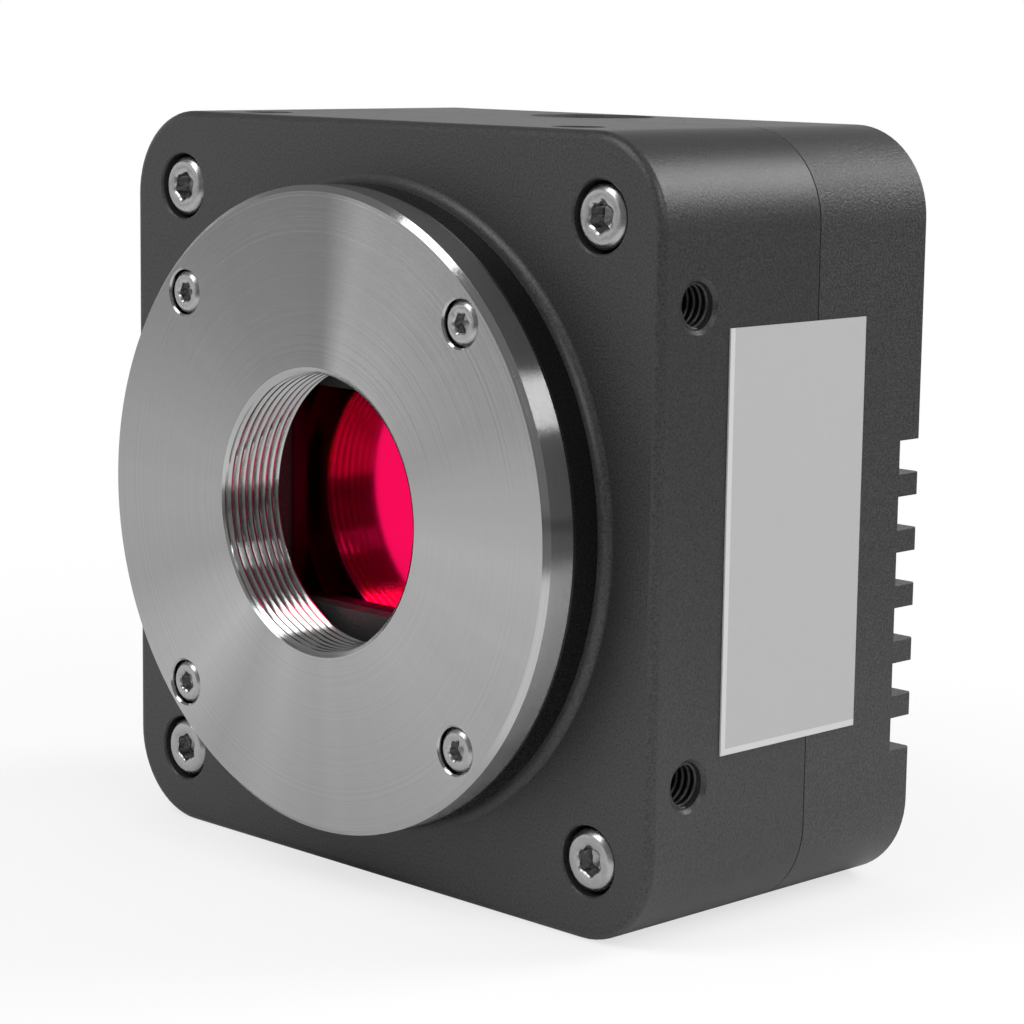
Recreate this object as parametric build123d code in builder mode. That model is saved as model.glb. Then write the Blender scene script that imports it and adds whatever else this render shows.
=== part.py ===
from build123d import *
from math import sqrt
import os

# C-mount camera: a square aluminium body in two halves, a steel lens mount on the front and
# cooling fins on the rear. Millimetres. X runs to the right as seen from the front, the lens
# mount faces -Y and Z is up. The origin is under the middle of the body, on its resting face.

# Body
body_size = 68.0
corner_radius = 8.0
front_depth = 19.75
rear_depth = 14.75
wall = 5.0
cavity_corner_radius = 3.0
rear_wall = 6.0
front_edge_radius = 0.8
rear_edge_chamfer = 0.4

# Lens mount: one inch, 32 threads per inch, 17.526 mm from the flange to the image
thread_radius = 12.7
thread_length = 6.4
thread_mouth_chamfer = 0.2
flange_radius = 28.5
flange_thickness = 3.2
flange_front_chamfer = 0.5
flange_rear_chamfer = 0.15
focal_distance = 17.526
neck_wall = 2.3
spacer_thickness = 2.8
seat_height = 1.0
seat_chamfer = 0.9

# Socket screws: radii and heights of the thread, head and socket
flange_screw_edge = 3.0
flange_screw_thread = 1.0
flange_screw_length = 8.0
flange_screw_head = 1.9
flange_screw_head_height = 1.9
flange_screw_socket = 0.95
flange_screw_recess = 0.1
housing_screw_inset = 7.0
housing_screw_thread = 1.5
housing_screw_length = 25.0
housing_screw_head = 2.7
housing_screw_head_height = 3.0
housing_screw_socket = 1.4
housing_screw_recess = 0.1
housing_boss_radius = 4.2
counterbore_gap_small = 0.15
counterbore_gap = 0.35
screw_hole_gap = 0.15
screw_head_edge = 0.4
screw_socket_floor = 0.9
thread_gap = 0.03
tip_room = 1.0

# Tapped holes in the four sides, and the tripod holes above and below
side_hole_spacing = 40.0
side_hole_inset = 4.6
side_hole_radius = 2.0
side_hole_mouth = 2.35
side_hole_depth = 6.0
tripod_hole_radius = 3.175
tripod_hole_mouth = 6.0
tripod_hole_depth = 7.5
tripod_boss_wall = 1.5
tripod_boss_height = 4.0

# Fins
groove_count = 6
groove_pitch = 5.0
groove_width = 3.0
groove_depth = 3.0
fins_offset = -7.3

# Label on the right side
label_width = 17.6
label_height = 36.0
label_thickness = 0.15
label_inset = 8.4

# Filter window
well_width = 27.8
well_height = 20.0
well_front_room = 1.0
glass_setback = 2.3
glass_overlap = 1.6
glass_thickness = 1.1
filter_seal_thickness = 0.3
retainer_thickness = 1.0
retainer_margin = 3.6
pocket_gap = 0.1

# Image sensor
die_width = 14.6
die_height = 11.0
die_thickness = 0.6
bond_room = 2.1
package_base = 1.2
package_rim_height = 1.4
package_rim_width = 2.6
cover_glass_thickness = 0.7
cover_glass_inset = 0.6
optics_margin = 1.9
optics_corner_radius = 3.0

# Boards and the pillars between them
board_thickness = 1.6
sensor_board_margin = 1.0
main_board_margin = 1.0
board_boss_gap = 0.8
tripod_board_gap = 0.5
pillar_spacing_z = 28.0
pillar_width = 5.0
pillar_length = 5.0
pillar_thread = 1.25
pillar_stud_length = 6.0
board_screw_head = 2.25
board_screw_head_height = 1.6
board_screw_socket = 1.2
board_screw_length = 4.6
plug_width = 24.0
plug_depth = 4.6
plug_height = 2.7
header_depth = 5.4
plug_offset = 15.0

# Parts on the main board
processor_size = 19.0
processor_height = 1.9
thermal_pad_thickness = 1.5
thermal_pad_inset = 0.5
heat_boss_margin = 1.0
memory_width = 8.0
memory_length = 12.0
memory_height = 1.1
memory_spacing = 24.0
memory_offset = -8.0
usb_chip_size = 8.0
usb_chip_height = 0.9
coil_size = 7.0
coil_corner_radius = 1.5
coil_height = 3.0
side_part_inset = 10.0
side_part_offset_z = 1.0
capacitor_length = 1.6
capacitor_width = 0.9
capacitor_height = 0.8
capacitor_count = 8
capacitor_pitch = 3.2
capacitor_inset = 2.0

# Sockets and status light in the rear
socket_inset = 16.0
usb_offset_x = -13.0
usb_width = 12.0
usb_height = 12.8
usb_shell_thickness = 0.4
usb_recess = 0.3
usb_opening_gap = 0.25
usb_port_width = 8.5
usb_port_height = 7.8
usb_port_bevel = 1.4
usb_port_drop = 1.2
usb_port_depth = 9.0
usb_tongue_width = 5.6
usb_tongue_height = 3.2
usb_slot_width = 6.4
usb_slot_height = 1.9
usb_slot_gap = 0.5
usb_contact_width = 1.0
usb_contact_height = 0.25
usb_contact_length = 6.5
usb_contact_pitch = 2.5
io_offset_x = 13.0
io_flange_radius = 5.2
io_flange_thickness = 1.0
io_barrel_radius = 4.1
io_bore_radius = 3.3
io_bore_depth = 5.0
io_recess = 0.2
io_nut_radius = 6.2
io_nut_thickness = 2.0
io_pin_circle = 1.9
io_pin_radius = 0.35
io_pin_count = 6
io_pin_reach = 3.5
io_opening_gap = 0.1
light_radius = 1.25
light_gap = 0.05
led_length = 1.6
led_width = 0.8
led_height = 0.7
led_gap = 0.3

# Seal in the joint between the halves
seal_width = 1.2
seal_thickness = 0.9
seal_inset = 2.0
seal_gap = 0.1

# Clearance of a turned or milled piece in its seat
fit_gap = 0.1

# Places along Y, from the flange face to the rear face
mount_height = flange_thickness + spacer_thickness + seat_height
total_depth = mount_height + front_depth + rear_depth
flange_y = -total_depth / 2
spacer_y = flange_y + flange_thickness
seat_y = spacer_y + spacer_thickness
plate_y = seat_y + seat_height
joint_y = plate_y + front_depth
rear_y = joint_y + rear_depth
rear_wall_y = rear_y - rear_wall
thread_end_y = flange_y + thread_length
well_y = thread_end_y + well_front_room
glass_y = plate_y + glass_setback
ledge_y = glass_y - filter_seal_thickness
retainer_y = glass_y + glass_thickness
wall_y = retainer_y + retainer_thickness
sensor_y = flange_y + focal_distance
package_floor_y = sensor_y + die_thickness
package_rim_y = package_floor_y - package_rim_height
board_y = package_floor_y + package_base
pillar_y = board_y + board_thickness
main_board_y = pillar_y + pillar_length
main_back_y = main_board_y + board_thickness
processor_back_y = main_back_y + processor_height
heat_boss_y = processor_back_y + thermal_pad_thickness
usb_face_y = rear_y - usb_recess
io_face_y = rear_y - io_recess

# Places and sizes across
axis_z = body_size / 2
cavity_size = body_size - 2 * wall
neck_radius = thread_radius + neck_wall
flange_screw_spacing = (flange_radius - flange_screw_edge) * sqrt(2)
flange_counterbore = flange_screw_head_height + flange_screw_recess
housing_screw_spacing = body_size - 2 * housing_screw_inset
housing_counterbore = housing_screw_head_height + housing_screw_recess
glass_width = well_width + 2 * glass_overlap
glass_height = well_height + 2 * glass_overlap
retainer_width = glass_width + 2 * retainer_margin
retainer_height = glass_height + 2 * retainer_margin
optics_width = retainer_width + 2 * optics_margin
package_width = die_width + 2 * (bond_room + package_rim_width)
package_height = die_height + 2 * (bond_room + package_rim_width)
sensor_board_size = cavity_size - 2 * sensor_board_margin
main_board_width = cavity_size - 2 * main_board_margin
main_board_height = cavity_size - 2 * (tripod_boss_height + tripod_board_gap)
pillar_spacing_x = (optics_width + sensor_board_size) / 2
socket_offset_z = axis_z - socket_inset
side_part_offset_x = main_board_width / 2 - side_part_inset
optical_axis = Axis((0, 0, axis_z), (0, 1, 0))
turning_plane = Plane.XY.offset(axis_z)


def facing_front(y, x=0.0, z=0.0):
    """A sketch plane at depth y that looks out of the front: its x is X and its y is Z."""
    return Plane(origin=(x, y, axis_z + z), x_dir=(1, 0, 0), z_dir=(0, -1, 0))


def facing_rear(y, x=0.0, z=0.0):
    """A sketch plane at depth y that looks out of the rear: its x is -X and its y is Z."""
    return Plane(origin=(x, y, axis_z + z), x_dir=(-1, 0, 0), z_dir=(0, 1, 0))


def side_planes(y):
    """The right, left, top and bottom faces at depth y, each with its y along the face."""
    half = body_size / 2
    return [
        Plane(origin=(half, y, axis_z), x_dir=(0, 1, 0), z_dir=(1, 0, 0)),
        Plane(origin=(-half, y, axis_z), x_dir=(0, 1, 0), z_dir=(-1, 0, 0)),
        Plane(origin=(0, y, body_size), x_dir=(0, 1, 0), z_dir=(0, 0, 1)),
        Plane(origin=(0, y, 0), x_dir=(0, 1, 0), z_dir=(0, 0, -1)),
    ]


def cap_screw(head_radius, head_height, socket_radius, thread, length):
    """A socket screw with the top of its head on the XY plane and its shank downwards."""
    with BuildPart() as screw:
        with BuildSketch():
            Circle(head_radius)
        extrude(amount=-head_height)
        top = screw.faces().sort_by(Axis.Z)[-1]
        chamfer(top.edges(), screw_head_edge)
        with BuildSketch():
            RegularPolygon(socket_radius, 6)
        extrude(amount=screw_socket_floor - head_height, mode=Mode.SUBTRACT)
        with BuildSketch(Plane.XY.offset(-head_height)):
            Circle(thread)
        extrude(amount=-length)
    return screw.part


def board_outline(width, height):
    """The outline of a circuit board that clears the corner bosses, with holes for its pillars."""
    with BuildSketch() as outline:
        Rectangle(width, height)
        with GridLocations(housing_screw_spacing, housing_screw_spacing, 2, 2):
            Circle(housing_boss_radius + board_boss_gap, mode=Mode.SUBTRACT)
        with GridLocations(pillar_spacing_x, pillar_spacing_z, 2, 2):
            Circle(pillar_thread + screw_hole_gap, mode=Mode.SUBTRACT)
    return outline.sketch


# Steel flange, turned, with the lens thread through its neck
with BuildPart() as c_mount_flange:
    with BuildSketch(turning_plane):
        with BuildLine():
            Polyline(
                (thread_radius, flange_y),
                (flange_radius, flange_y),
                (flange_radius, spacer_y),
                (neck_radius, spacer_y),
                (neck_radius, thread_end_y),
                (thread_radius, thread_end_y),
                close=True,
            )
        make_face()
    revolve(axis=optical_axis)
    rim_edges = c_mount_flange.edges().filter_by(GeomType.CIRCLE).group_by(SortBy.RADIUS)[-1]
    chamfer(rim_edges.sort_by(Axis.Y)[0], flange_front_chamfer)
    chamfer(rim_edges.sort_by(Axis.Y)[-1], flange_rear_chamfer)
    mouth_edges = c_mount_flange.edges().filter_by(GeomType.CIRCLE).group_by(SortBy.RADIUS)[0]
    chamfer(mouth_edges.sort_by(Axis.Y)[0], thread_mouth_chamfer)
    with Locations(facing_front(flange_y)):
        with GridLocations(flange_screw_spacing, flange_screw_spacing, 2, 2):
            CounterBoreHole(
                flange_screw_thread + screw_hole_gap,
                flange_screw_head + counterbore_gap_small,
                flange_counterbore,
                flange_thickness,
            )

# Black ring between the flange and the body
with BuildPart() as flange_spacer_ring:
    with BuildSketch(facing_front(spacer_y)):
        Circle(flange_radius)
        Circle(neck_radius + fit_gap, mode=Mode.SUBTRACT)
        with GridLocations(flange_screw_spacing, flange_screw_spacing, 2, 2):
            Circle(flange_screw_thread + screw_hole_gap, mode=Mode.SUBTRACT)
    extrude(amount=-spacer_thickness)

# Four small screws that clamp the flange and the ring to the body
flange_screw = cap_screw(
    flange_screw_head,
    flange_screw_head_height,
    flange_screw_socket,
    flange_screw_thread - thread_gap,
    flange_screw_length,
)
with BuildPart() as flange_screws:
    with Locations(facing_front(flange_y + flange_screw_recess)):
        with GridLocations(flange_screw_spacing, flange_screw_spacing, 2, 2):
            add(flange_screw)

# Front half of the body
with BuildPart() as front_housing:
    with BuildSketch(facing_front(plate_y)):
        RectangleRounded(body_size, body_size, corner_radius)
    extrude(amount=-front_depth)
    fillet(front_housing.faces().sort_by(Axis.Y)[0].edges(), front_edge_radius)
    # Raised round seat of the flange, widened at its foot
    with BuildSketch(facing_front(plate_y)):
        Circle(flange_radius)
    extrude(amount=seat_height)
    foot = front_housing.edges().filter_by(GeomType.CIRCLE).group_by(SortBy.RADIUS)[-1]
    chamfer(foot.sort_by(Axis.Y)[-1], seat_chamfer)
    # Light path: neck bore, well, glass pocket, retainer pocket
    with BuildSketch(facing_front(seat_y)):
        Circle(neck_radius + fit_gap)
    extrude(amount=seat_y - well_y, mode=Mode.SUBTRACT)
    with BuildSketch(facing_front(well_y)):
        Rectangle(well_width, well_height)
    extrude(amount=well_y - ledge_y, mode=Mode.SUBTRACT)
    with BuildSketch(facing_front(ledge_y)):
        Rectangle(glass_width + 2 * pocket_gap, glass_height + 2 * pocket_gap)
    extrude(amount=ledge_y - retainer_y, mode=Mode.SUBTRACT)
    with BuildSketch(facing_front(retainer_y)):
        Rectangle(retainer_width + 2 * pocket_gap, retainer_height + 2 * pocket_gap)
    extrude(amount=retainer_y - wall_y, mode=Mode.SUBTRACT)
    # Room for the image sensor, then for the boards around the corner bosses
    with BuildSketch(facing_front(wall_y)):
        RectangleRounded(optics_width, optics_width, optics_corner_radius)
    extrude(amount=wall_y - board_y, mode=Mode.SUBTRACT)
    with BuildSketch(facing_front(board_y)):
        RectangleRounded(cavity_size, cavity_size, cavity_corner_radius)
        with GridLocations(housing_screw_spacing, housing_screw_spacing, 2, 2):
            Circle(housing_boss_radius, mode=Mode.SUBTRACT)
    extrude(amount=board_y - joint_y, mode=Mode.SUBTRACT)
    # Screw holes
    with Locations(facing_front(plate_y)):
        with GridLocations(housing_screw_spacing, housing_screw_spacing, 2, 2):
            CounterBoreHole(
                housing_screw_thread + screw_hole_gap,
                housing_screw_head + counterbore_gap,
                housing_counterbore,
                front_depth,
            )
    flange_tap_depth = flange_y + flange_counterbore + flange_screw_length + tip_room / 2 - seat_y
    with Locations(facing_front(seat_y)):
        with GridLocations(flange_screw_spacing, flange_screw_spacing, 2, 2):
            Hole(flange_screw_thread, flange_tap_depth)
    with Locations(facing_rear(board_y)):
        with GridLocations(pillar_spacing_x, pillar_spacing_z, 2, 2):
            Hole(pillar_thread, pillar_stud_length - board_thickness + tip_room / 2)
    # Tapped holes in the four sides
    with Locations(*side_planes(plate_y + side_hole_inset)):
        with GridLocations(1, side_hole_spacing, 1, 2):
            CounterSinkHole(side_hole_radius, side_hole_mouth, side_hole_depth, 90)

# Four screws through the front half into the rear half
housing_screw = cap_screw(
    housing_screw_head,
    housing_screw_head_height,
    housing_screw_socket,
    housing_screw_thread - thread_gap,
    housing_screw_length,
)
with BuildPart() as housing_screws:
    with Locations(facing_front(plate_y + housing_screw_recess)):
        with GridLocations(housing_screw_spacing, housing_screw_spacing, 2, 2):
            add(housing_screw)

# Rear half of the body, with the cooling fins
with BuildPart() as rear_housing:
    with BuildSketch(facing_front(joint_y)):
        RectangleRounded(body_size, body_size, corner_radius)
    extrude(amount=-rear_depth)
    chamfer(rear_housing.faces().sort_by(Axis.Y)[-1].edges(), rear_edge_chamfer)
    with BuildSketch(facing_front(joint_y)):
        RectangleRounded(cavity_size, cavity_size, cavity_corner_radius)
        with GridLocations(housing_screw_spacing, housing_screw_spacing, 2, 2):
            Circle(housing_boss_radius, mode=Mode.SUBTRACT)
    extrude(amount=joint_y - rear_wall_y, mode=Mode.SUBTRACT)
    # Raised pad that takes the processor's heat to the fins
    with BuildSketch(facing_front(rear_wall_y, z=fins_offset)):
        heat_boss_size = processor_size + 2 * heat_boss_margin
        Rectangle(heat_boss_size, heat_boss_size)
    extrude(amount=rear_wall_y - heat_boss_y)
    # Bosses behind the tripod holes
    tripod_y = (joint_y + rear_y) / 2
    tripod_boss_width = 2 * (tripod_hole_radius + tripod_boss_wall)
    tripod_boss_depth = tripod_boss_width / 2 + rear_wall_y - tripod_y
    boss_z = (cavity_size - tripod_boss_height) / 2
    with BuildSketch(facing_front(rear_wall_y)):
        with GridLocations(1, 2 * boss_z, 1, 2):
            Rectangle(tripod_boss_width, tripod_boss_height)
    extrude(amount=tripod_boss_depth)
    # Grooves between the fins
    with BuildSketch(facing_front(rear_y - groove_depth, z=fins_offset)):
        with GridLocations(1, groove_pitch, 1, groove_count):
            Rectangle(body_size, groove_width)
    extrude(amount=-groove_depth, mode=Mode.SUBTRACT)
    # Openings for the two sockets and the status light
    with BuildSketch(facing_front(rear_wall_y, usb_offset_x, socket_offset_z)):
        Rectangle(usb_width + 2 * usb_opening_gap, usb_height + 2 * usb_opening_gap)
    extrude(amount=-rear_wall, mode=Mode.SUBTRACT)
    with Locations(facing_rear(rear_y, io_offset_x, socket_offset_z)):
        CounterBoreHole(
            io_barrel_radius + io_opening_gap,
            io_flange_radius + io_opening_gap,
            io_flange_thickness + io_recess,
            rear_wall,
        )
    with Locations(facing_rear(rear_y, 0, socket_offset_z)):
        Hole(light_radius + light_gap, rear_wall)
    # Tapped holes for the housing screws, and the tripod holes
    housing_tip_y = plate_y + housing_counterbore + housing_screw_length
    with Locations(facing_front(joint_y)):
        with GridLocations(housing_screw_spacing, housing_screw_spacing, 2, 2):
            Hole(housing_screw_thread, housing_tip_y + tip_room - joint_y)
    with Locations(*side_planes(tripod_y)[2:]):
        CounterSinkHole(tripod_hole_radius, tripod_hole_mouth, tripod_hole_depth, 90)
    # Groove of the joint's seal
    seal_size = body_size - 2 * seal_inset
    with BuildSketch(facing_front(joint_y)):
        RectangleRounded(
            seal_size + 2 * seal_gap,
            seal_size + 2 * seal_gap,
            corner_radius - seal_inset + seal_gap,
        )
        RectangleRounded(
            seal_size - 2 * (seal_width + seal_gap),
            seal_size - 2 * (seal_width + seal_gap),
            corner_radius - seal_inset - seal_width - seal_gap,
            mode=Mode.SUBTRACT,
        )
    extrude(amount=-seal_thickness, mode=Mode.SUBTRACT)

# Rubber seal in the joint
with BuildPart() as housing_seal:
    with BuildSketch(facing_front(joint_y)):
        RectangleRounded(seal_size, seal_size, corner_radius - seal_inset)
        RectangleRounded(
            seal_size - 2 * seal_width,
            seal_size - 2 * seal_width,
            corner_radius - seal_inset - seal_width,
            mode=Mode.SUBTRACT,
        )
    extrude(amount=-seal_thickness)

# Bare label across the joint on the right side
with BuildPart() as rating_label:
    with BuildSketch(Plane(origin=(body_size / 2, plate_y + label_inset, axis_z),
                           x_dir=(0, 1, 0), z_dir=(1, 0, 0))):
        with Locations((label_width / 2, 0)):
            Rectangle(label_width, label_height)
    extrude(amount=label_thickness)

# Infrared filter, its seal and the frame bonded in behind it
with BuildPart() as filter_glass:
    with BuildSketch(facing_front(glass_y)):
        Rectangle(glass_width, glass_height)
    extrude(amount=-glass_thickness)

with BuildPart() as filter_seal:
    with BuildSketch(facing_front(ledge_y)):
        Rectangle(glass_width, glass_height)
        Rectangle(well_width, well_height, mode=Mode.SUBTRACT)
    extrude(amount=-filter_seal_thickness)

with BuildPart() as filter_retainer:
    with BuildSketch(facing_front(retainer_y)):
        Rectangle(retainer_width, retainer_height)
        Rectangle(well_width, well_height, mode=Mode.SUBTRACT)
    extrude(amount=-retainer_thickness)

# Image sensor: die in a ceramic package under a cover glass
with BuildPart() as sensor_package:
    with BuildSketch(facing_front(package_rim_y)):
        Rectangle(package_width, package_height)
    extrude(amount=package_rim_y - board_y)
    with BuildSketch(facing_front(package_rim_y)):
        Rectangle(package_width - 2 * package_rim_width, package_height - 2 * package_rim_width)
    extrude(amount=-package_rim_height, mode=Mode.SUBTRACT)

with BuildPart() as sensor_die:
    with BuildSketch(facing_front(sensor_y)):
        Rectangle(die_width, die_height)
    extrude(amount=-die_thickness)

with BuildPart() as sensor_cover_glass:
    with BuildSketch(facing_front(package_rim_y)):
        Rectangle(package_width - 2 * cover_glass_inset, package_height - 2 * cover_glass_inset)
    extrude(amount=cover_glass_thickness)

# Circuit boards
with BuildPart() as sensor_board:
    with BuildSketch(facing_front(board_y)):
        add(board_outline(sensor_board_size, sensor_board_size))
    extrude(amount=-board_thickness)

with BuildPart() as main_board:
    with BuildSketch(facing_front(main_board_y)):
        add(board_outline(main_board_width, main_board_height))
    extrude(amount=-board_thickness)

# Hexagon pillars: studs through the sensor board into the front half, tapped for the main board
with BuildPart() as board_spacers:
    with BuildSketch(facing_front(pillar_y)):
        with GridLocations(pillar_spacing_x, pillar_spacing_z, 2, 2):
            RegularPolygon(pillar_width / 2, 6, major_radius=False)
    extrude(amount=-pillar_length)
    with BuildSketch(facing_front(pillar_y)):
        with GridLocations(pillar_spacing_x, pillar_spacing_z, 2, 2):
            Circle(pillar_thread - thread_gap)
    extrude(amount=pillar_stud_length)
    with Locations(facing_rear(main_board_y)):
        with GridLocations(pillar_spacing_x, pillar_spacing_z, 2, 2):
            Hole(pillar_thread, board_screw_length - board_thickness + tip_room / 2)

board_screw = cap_screw(
    board_screw_head,
    board_screw_head_height,
    board_screw_socket,
    pillar_thread - thread_gap,
    board_screw_length,
)
with BuildPart() as main_board_screws:
    with Locations(facing_rear(main_back_y + board_screw_head_height)):
        with GridLocations(pillar_spacing_x, pillar_spacing_z, 2, 2):
            add(board_screw)

# Connector between the boards
with BuildPart() as board_plug:
    with BuildSketch(facing_front(pillar_y, z=plug_offset)):
        Rectangle(plug_width, plug_depth)
    extrude(amount=-plug_height)

with BuildPart() as board_header:
    with BuildSketch(facing_front(pillar_y + plug_height, z=plug_offset)):
        Rectangle(plug_width, header_depth)
    extrude(amount=plug_height - pillar_length)

# Chips, coil and capacitors on the main board
with BuildPart() as processor_chip:
    with BuildSketch(facing_front(main_back_y, z=fins_offset)):
        Rectangle(processor_size, processor_size)
    extrude(amount=-processor_height)

thermal_pad_size = processor_size - 2 * thermal_pad_inset
with BuildPart() as thermal_pad:
    with BuildSketch(facing_front(processor_back_y, z=fins_offset)):
        Rectangle(thermal_pad_size, thermal_pad_size)
    extrude(amount=-thermal_pad_thickness)

with BuildPart() as memory_chips:
    with BuildSketch(facing_front(main_board_y, z=memory_offset)):
        with GridLocations(memory_spacing, 1, 2, 1):
            Rectangle(memory_width, memory_length)
    extrude(amount=memory_height)

with BuildPart() as usb_chip:
    with BuildSketch(facing_front(main_back_y, -side_part_offset_x, side_part_offset_z)):
        Rectangle(usb_chip_size, usb_chip_size)
    extrude(amount=-usb_chip_height)

with BuildPart() as power_coil:
    with BuildSketch(facing_front(main_back_y, side_part_offset_x, side_part_offset_z)):
        RectangleRounded(coil_size, coil_size, coil_corner_radius)
    extrude(amount=-coil_height)

with BuildPart() as capacitors:
    with BuildSketch(facing_front(main_back_y, z=capacitor_inset - main_board_height / 2)):
        with GridLocations(capacitor_pitch, 1, capacitor_count, 1):
            Rectangle(capacitor_width, capacitor_length)
    extrude(amount=-capacitor_height)

# Data socket: sheet metal shell, plastic insert with two tongues, contacts
usb_length = usb_face_y - main_back_y
usb_inner_width = usb_width - 2 * usb_shell_thickness
usb_inner_height = usb_height - 2 * usb_shell_thickness
usb_slot_rise = usb_port_height / 2 - usb_port_drop + usb_slot_gap + usb_slot_height / 2
with BuildPart() as usb_shell:
    with BuildSketch(facing_front(main_back_y, usb_offset_x, socket_offset_z)):
        Rectangle(usb_width, usb_height)
        Rectangle(usb_inner_width, usb_inner_height, mode=Mode.SUBTRACT)
    extrude(amount=-usb_length)

with BuildPart() as usb_insert:
    with BuildSketch(facing_front(main_back_y, usb_offset_x, socket_offset_z)):
        Rectangle(usb_inner_width - 2 * thread_gap, usb_inner_height - 2 * thread_gap)
    extrude(amount=-usb_length)
    with BuildSketch(facing_rear(usb_face_y, usb_offset_x, socket_offset_z)):
        with Locations((0, -usb_port_drop)):
            Rectangle(usb_port_width, usb_port_height)
            Rectangle(usb_tongue_width, usb_tongue_height, mode=Mode.SUBTRACT)
        with Locations((0, usb_slot_rise)):
            Rectangle(usb_slot_width, usb_slot_height)
    extrude(amount=-usb_port_depth, mode=Mode.SUBTRACT)
    port_edges = usb_insert.edges().filter_by(Axis.Y).filter_by(
        lambda edge: abs(abs(edge.center().X - usb_offset_x) - usb_port_width / 2) < thread_gap
    )
    chamfer(port_edges.group_by(Axis.Z)[-1], usb_port_bevel)

with BuildPart() as usb_contacts:
    contact_y = usb_face_y - usb_port_depth
    contact_rise = (usb_tongue_height + usb_contact_height) / 2
    with BuildSketch(facing_rear(contact_y, usb_offset_x, socket_offset_z - usb_port_drop)):
        with GridLocations(usb_contact_pitch, 2 * contact_rise, 2, 2):
            Rectangle(usb_contact_width, usb_contact_height)
    extrude(amount=usb_contact_length)

# Round power and trigger socket: shell with its nut, insert and pins
with BuildPart() as io_shell:
    with BuildSketch(facing_rear(io_face_y, io_offset_x, socket_offset_z)):
        Circle(io_flange_radius)
    extrude(amount=-io_flange_thickness)
    with BuildSketch(facing_rear(io_face_y, io_offset_x, socket_offset_z)):
        Circle(io_barrel_radius)
    extrude(amount=rear_wall_y - io_nut_thickness - tip_room / 2 - io_face_y)
    with BuildSketch(facing_rear(io_face_y, io_offset_x, socket_offset_z)):
        Circle(io_bore_radius)
    extrude(amount=rear_wall_y - io_nut_thickness - tip_room / 2 - io_face_y, mode=Mode.SUBTRACT)

with BuildPart() as io_nut:
    with BuildSketch(facing_front(rear_wall_y, io_offset_x, socket_offset_z)):
        RegularPolygon(io_nut_radius, 6, major_radius=False)
        Circle(io_barrel_radius + thread_gap, mode=Mode.SUBTRACT)
    extrude(amount=io_nut_thickness)

io_insert_y = io_face_y - io_bore_depth
with BuildPart() as io_insert:
    with BuildSketch(facing_front(rear_wall_y - io_nut_thickness, io_offset_x, socket_offset_z)):
        Circle(io_bore_radius - thread_gap)
    extrude(amount=rear_wall_y - io_nut_thickness - io_insert_y)

with BuildPart() as io_pins:
    with BuildSketch(facing_rear(io_insert_y, io_offset_x, socket_offset_z)):
        with PolarLocations(io_pin_circle, io_pin_count):
            Circle(io_pin_radius)
    extrude(amount=io_pin_reach)

# Status light: lamp on the board and the clear rod that carries it to the rear face
with BuildPart() as status_led:
    with BuildSketch(facing_front(main_back_y, 0, socket_offset_z)):
        Rectangle(led_length, led_width)
    extrude(amount=-led_height)

with BuildPart() as status_window:
    with BuildSketch(facing_front(main_back_y + led_height + led_gap, 0, socket_offset_z)):
        Circle(light_radius)
    extrude(amount=main_back_y + led_height + led_gap - rear_y)

pieces = {
    "c_mount_flange": c_mount_flange,
    "flange_spacer_ring": flange_spacer_ring,
    "flange_screws": flange_screws,
    "front_housing": front_housing,
    "housing_screws": housing_screws,
    "rear_housing": rear_housing,
    "housing_seal": housing_seal,
    "rating_label": rating_label,
    "filter_glass": filter_glass,
    "filter_seal": filter_seal,
    "filter_retainer": filter_retainer,
    "sensor_package": sensor_package,
    "sensor_die": sensor_die,
    "sensor_cover_glass": sensor_cover_glass,
    "sensor_board": sensor_board,
    "board_spacers": board_spacers,
    "board_plug": board_plug,
    "board_header": board_header,
    "main_board": main_board,
    "main_board_screws": main_board_screws,
    "processor_chip": processor_chip,
    "thermal_pad": thermal_pad,
    "memory_chips": memory_chips,
    "usb_chip": usb_chip,
    "power_coil": power_coil,
    "capacitors": capacitors,
    "usb_shell": usb_shell,
    "usb_insert": usb_insert,
    "usb_contacts": usb_contacts,
    "io_shell": io_shell,
    "io_nut": io_nut,
    "io_insert": io_insert,
    "io_pins": io_pins,
    "status_led": status_led,
    "status_window": status_window,
}
os.makedirs("parts", exist_ok=True)
for name, piece in pieces.items():
    piece.part.label = name
    export_step(piece.part, f"parts/{name}.step")
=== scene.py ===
from math import asin, cos, pi, radians, sin, sqrt

import bmesh
import bpy
from mathutils import Matrix, Vector


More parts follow.
